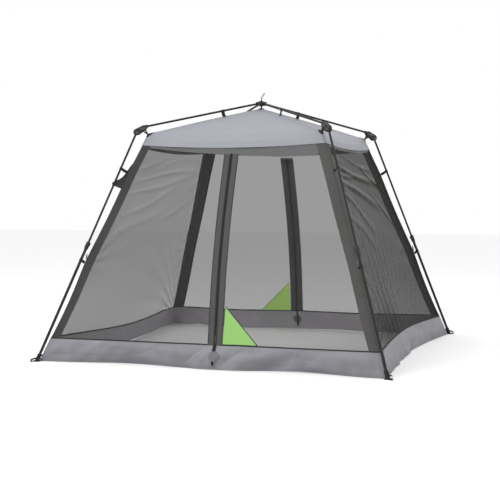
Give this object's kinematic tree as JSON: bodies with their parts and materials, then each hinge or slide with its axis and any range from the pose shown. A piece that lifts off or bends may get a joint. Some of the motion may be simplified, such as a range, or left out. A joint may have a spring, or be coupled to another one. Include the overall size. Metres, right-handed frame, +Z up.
{
  "type": "screen house",
  "caption": "Square pop-up screen house: outside folding frame with telescoping legs, grey canopy, net walls, skirts, two zipped doors.",
  "frame": {"origin": "on the ground under the hub, at the middle of the four feet", "axes": "+Z up, the front door on -Y, +X to the right seen from the front"},
  "size_m": [3.1938, 3.1938, 2.3963],
  "materials": {
    "dark_plastic": "satin",
    "foot_plastic": "matte",
    "grey_webbing": "matte",
    "black_tube": "satin",
    "steel_pin": "satin",
    "black_button": "satin",
    "net": "matte",
    "dark_cloth": "matte",
    "skirt_cloth": "matte",
    "canopy_cloth": "matte",
    "zip_cloth": "matte",
    "zip_metal": "satin",
    "green_cloth": "matte"
  },
  "bodies": {
    "hub": {"hub_body": "dark_plastic", "hub_cap": "dark_plastic", "hub_loop": "grey_webbing", "canopy": "canopy_cloth", "wall_front": "net", "skirt_front": "skirt_cloth", "wall_right": "net", "skirt_right": "skirt_cloth", "wall_back": "net", "skirt_back": "skirt_cloth", "wall_left": "net", "skirt_left": "skirt_cloth", "strip_fl": "dark_cloth", "strip_fr": "dark_cloth", "strip_br": "dark_cloth", "strip_bl": "dark_cloth", "patch_front": "green_cloth", "patch_back": "green_cloth"},
    "arm_fl": {"arm_fl": "black_tube", "elbow_fl": "dark_plastic", "elbow_pin_fl": "steel_pin"},
    "leg_fl": {"knuckle_fl": "dark_plastic", "upper_tube_fl": "black_tube"},
    "foot_fl": {"lower_tube_fl": "black_tube", "collar_fl": "dark_plastic", "foot_fl": "foot_plastic"},
    "button_fl": {"button_fl": "black_button"},
    "arm_fr": {"arm_fr": "black_tube", "elbow_fr": "dark_plastic", "elbow_pin_fr": "steel_pin"},
    "leg_fr": {"knuckle_fr": "dark_plastic", "upper_tube_fr": "black_tube"},
    "foot_fr": {"lower_tube_fr": "black_tube", "collar_fr": "dark_plastic", "foot_fr": "foot_plastic"},
    "button_fr": {"button_fr": "black_button"},
    "arm_br": {"arm_br": "black_tube", "elbow_br": "dark_plastic", "elbow_pin_br": "steel_pin"},
    "leg_br": {"knuckle_br": "dark_plastic", "upper_tube_br": "black_tube"},
    "foot_br": {"lower_tube_br": "black_tube", "collar_br": "dark_plastic", "foot_br": "foot_plastic"},
    "button_br": {"button_br": "black_button"},
    "arm_bl": {"arm_bl": "black_tube", "elbow_bl": "dark_plastic", "elbow_pin_bl": "steel_pin"},
    "leg_bl": {"knuckle_bl": "dark_plastic", "upper_tube_bl": "black_tube"},
    "foot_bl": {"lower_tube_bl": "black_tube", "collar_bl": "dark_plastic", "foot_bl": "foot_plastic"},
    "button_bl": {"button_bl": "black_button"},
    "zip_front": {"zip_tape_front": "zip_cloth"},
    "slider_front": {"zip_slider_front": "zip_metal"},
    "zip_back": {"zip_tape_back": "zip_cloth"},
    "slider_back": {"zip_slider_back": "zip_metal"}
  },
  "joints": [
    {"name": "arm_fold_fl", "type": "hinge", "parent": "hub", "child": "arm_fl", "pos_m": [-0.0297, -0.0297, 2.3], "axis": [-0.7071, 0.7071, 0], "range_deg": [0, 98.1], "deforming": ["canopy", "wall_front", "wall_right", "wall_back", "wall_left", "skirt_front", "skirt_right", "skirt_back", "skirt_left", "strip_fl", "strip_fr", "strip_br", "strip_bl", "patch_front", "patch_back", "zip_tape_front", "zip_tape_back"]},
    {"name": "elbow_fl", "type": "hinge", "parent": "arm_fl", "child": "leg_fl", "pos_m": [-0.889, -0.889, 2.003], "axis": [-0.7071, 0.7071, 0], "range_deg": [-123.12, 0]},
    {"name": "telescope_fl", "type": "slide", "parent": "leg_fl", "child": "foot_fl", "axis": [0.299, 0.299, 0.9062], "range_m": [0, 0.93]},
    {"name": "button_fl", "type": "slide", "parent": "foot_fl", "child": "button_fl", "axis": [0.6408, 0.6408, -0.4229], "range_m": [0, 0.003], "stiffness_N_per_m": 500, "springref_m": -0.002},
    {"name": "arm_fold_fr", "type": "hinge", "parent": "hub", "child": "arm_fr", "pos_m": [0.0297, -0.0297, 2.3], "axis": [-0.7071, -0.7071, 0], "range_deg": [0, 98.1]},
    {"name": "elbow_fr", "type": "hinge", "parent": "arm_fr", "child": "leg_fr", "pos_m": [0.889, -0.889, 2.003], "axis": [-0.7071, -0.7071, 0], "range_deg": [-123.12, 0]},
    {"name": "telescope_fr", "type": "slide", "parent": "leg_fr", "child": "foot_fr", "axis": [-0.299, 0.299, 0.9062], "range_m": [0, 0.93]},
    {"name": "button_fr", "type": "slide", "parent": "foot_fr", "child": "button_fr", "axis": [-0.6408, 0.6408, -0.4229], "range_m": [0, 0.003], "stiffness_N_per_m": 500, "springref_m": -0.002},
    {"name": "arm_fold_br", "type": "hinge", "parent": "hub", "child": "arm_br", "pos_m": [0.0297, 0.0297, 2.3], "axis": [0.7071, -0.7071, 0], "range_deg": [0, 98.1]},
    {"name": "elbow_br", "type": "hinge", "parent": "arm_br", "child": "leg_br", "pos_m": [0.889, 0.889, 2.003], "axis": [0.7071, -0.7071, 0], "range_deg": [-123.12, 0]},
    {"name": "telescope_br", "type": "slide", "parent": "leg_br", "child": "foot_br", "axis": [-0.299, -0.299, 0.9062], "range_m": [0, 0.93]},
    {"name": "button_br", "type": "slide", "parent": "foot_br", "child": "button_br", "axis": [-0.6408, -0.6408, -0.4229], "range_m": [0, 0.003], "stiffness_N_per_m": 500, "springref_m": -0.002},
    {"name": "arm_fold_bl", "type": "hinge", "parent": "hub", "child": "arm_bl", "pos_m": [-0.0297, 0.0297, 2.3], "axis": [0.7071, 0.7071, 0], "range_deg": [0, 98.1]},
    {"name": "elbow_bl", "type": "hinge", "parent": "arm_bl", "child": "leg_bl", "pos_m": [-0.889, 0.889, 2.003], "axis": [0.7071, 0.7071, 0], "range_deg": [-123.12, 0]},
    {"name": "telescope_bl", "type": "slide", "parent": "leg_bl", "child": "foot_bl", "axis": [0.299, -0.299, 0.9062], "range_m": [0, 0.93]},
    {"name": "button_bl", "type": "slide", "parent": "foot_bl", "child": "button_bl", "axis": [0.6408, -0.6408, -0.4229], "range_m": [0, 0.003], "stiffness_N_per_m": 500, "springref_m": -0.002},
    {"name": "zip_gather_front", "type": "hinge", "parent": "leg_fl", "child": "zip_front", "pos_m": [0, 0, 4.25978], "axis": [0, 0.9415, -0.3371], "range_deg": [0, 18]},
    {"name": "zip_front", "type": "slide", "parent": "zip_front", "child": "slider_front", "axis": [-0.0316, 0.3369, 0.941], "range_m": [0, 1.58]},
    {"name": "zip_gather_back", "type": "hinge", "parent": "leg_br", "child": "zip_back", "pos_m": [0, 0, 4.25978], "axis": [0, -0.9415, -0.3371], "range_deg": [0, 18]},
    {"name": "zip_back", "type": "slide", "parent": "zip_back", "child": "slider_back", "axis": [0.0316, -0.3369, 0.941], "range_m": [0, 1.58]}
  ],
  "couplings": [
    {"joint": "elbow_fl", "follows": "arm_fold_fl", "ratio": -1.255},
    {"joint": "arm_fold_fr", "follows": "arm_fold_fl", "ratio": 1},
    {"joint": "elbow_fr", "follows": "arm_fold_fl", "ratio": -1.255},
    {"joint": "arm_fold_br", "follows": "arm_fold_fl", "ratio": 1},
    {"joint": "elbow_br", "follows": "arm_fold_fl", "ratio": -1.255},
    {"joint": "arm_fold_bl", "follows": "arm_fold_fl", "ratio": 1},
    {"joint": "elbow_bl", "follows": "arm_fold_fl", "ratio": -1.255},
    {"joint": "zip_gather_front", "follows": "arm_fold_fl", "ratio": 0.18349},
    {"joint": "zip_gather_back", "follows": "arm_fold_fl", "ratio": 0.18349}
  ]
}
